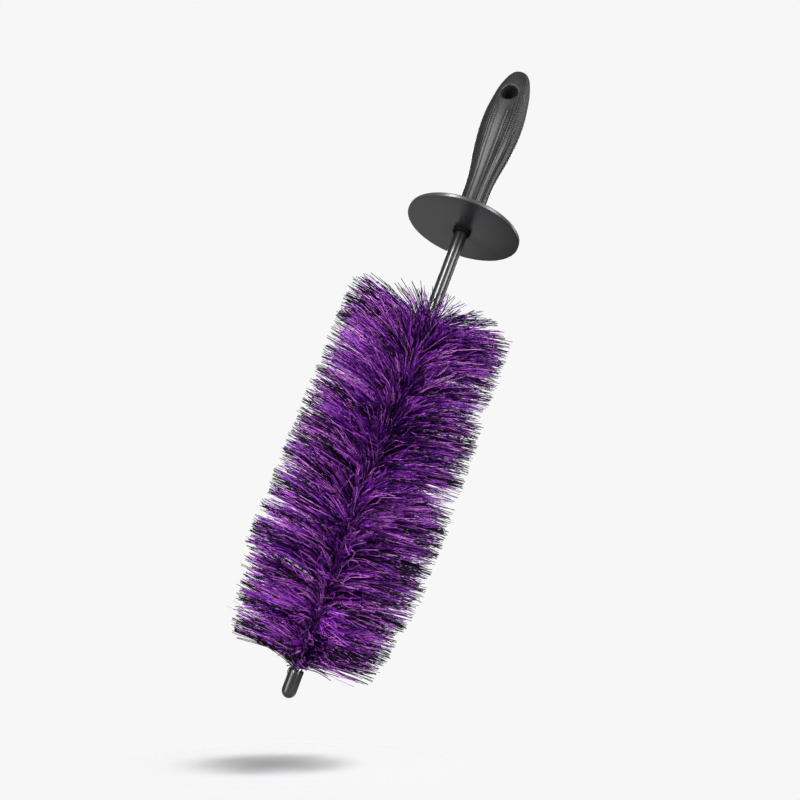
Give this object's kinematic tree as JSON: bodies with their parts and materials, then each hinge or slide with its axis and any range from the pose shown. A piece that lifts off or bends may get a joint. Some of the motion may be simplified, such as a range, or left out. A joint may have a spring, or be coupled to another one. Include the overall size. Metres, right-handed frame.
{
  "type": "wheel brush",
  "caption": "Wheel-cleaning brush: long round soft-bristle head on a bendable twisted-wire shaft, round splash guard, and a contoured grip handle with a hanging hole.",
  "frame": {"origin": "centre of the hanging hole through the handle, on the brush's long axis", "axes": "+Z along the brush's long axis, from the bristles' free tip towards the end of the handle; Y along the hanging hole; the handle's two broad sides face -Y and +Y; X is the handle's wider way"},
  "size_m": [0.116, 0.116, 0.455],
  "materials": {
    "core_black": "satin",
    "grip_grey": "matte",
    "guard_grey": "satin",
    "collar_black": "matte",
    "gloss_black": "gloss",
    "wire_steel": "satin",
    "ferrule_steel": "satin",
    "bristle_purple": "satin",
    "bristle_dark": "satin"
  },
  "bodies": {
    "handle": {"handle_core": "core_black", "handle_grip": "grip_grey", "splash_guard": "guard_grey", "guard_collar": "collar_black", "shaft_sleeve": "gloss_black", "wire_ferrule": "ferrule_steel"},
    "head": {"core_wire_1": "wire_steel", "core_wire_2": "wire_steel", "end_cap": "gloss_black", "bristle_band_01": "bristle_purple", "bristle_band_02": "bristle_dark", "bristle_band_03": "bristle_purple", "bristle_band_04": "bristle_dark", "bristle_band_05": "bristle_purple", "bristle_band_06": "bristle_dark", "bristle_band_07": "bristle_purple", "bristle_band_08": "bristle_dark", "bristle_band_09": "bristle_purple", "bristle_band_10": "bristle_dark", "bristle_band_11": "bristle_purple", "bristle_band_12": "bristle_dark", "bristle_band_13": "bristle_purple"}
  },
  "joints": [
    {"name": "stem_bend", "type": "hinge", "parent": "handle", "child": "head", "pos_m": [0, 0, -0.146], "axis": [0, 1, 0], "range_deg": [-30, 30], "deforming": ["shaft_sleeve", "core_wire_1", "core_wire_2"]}
  ]
}
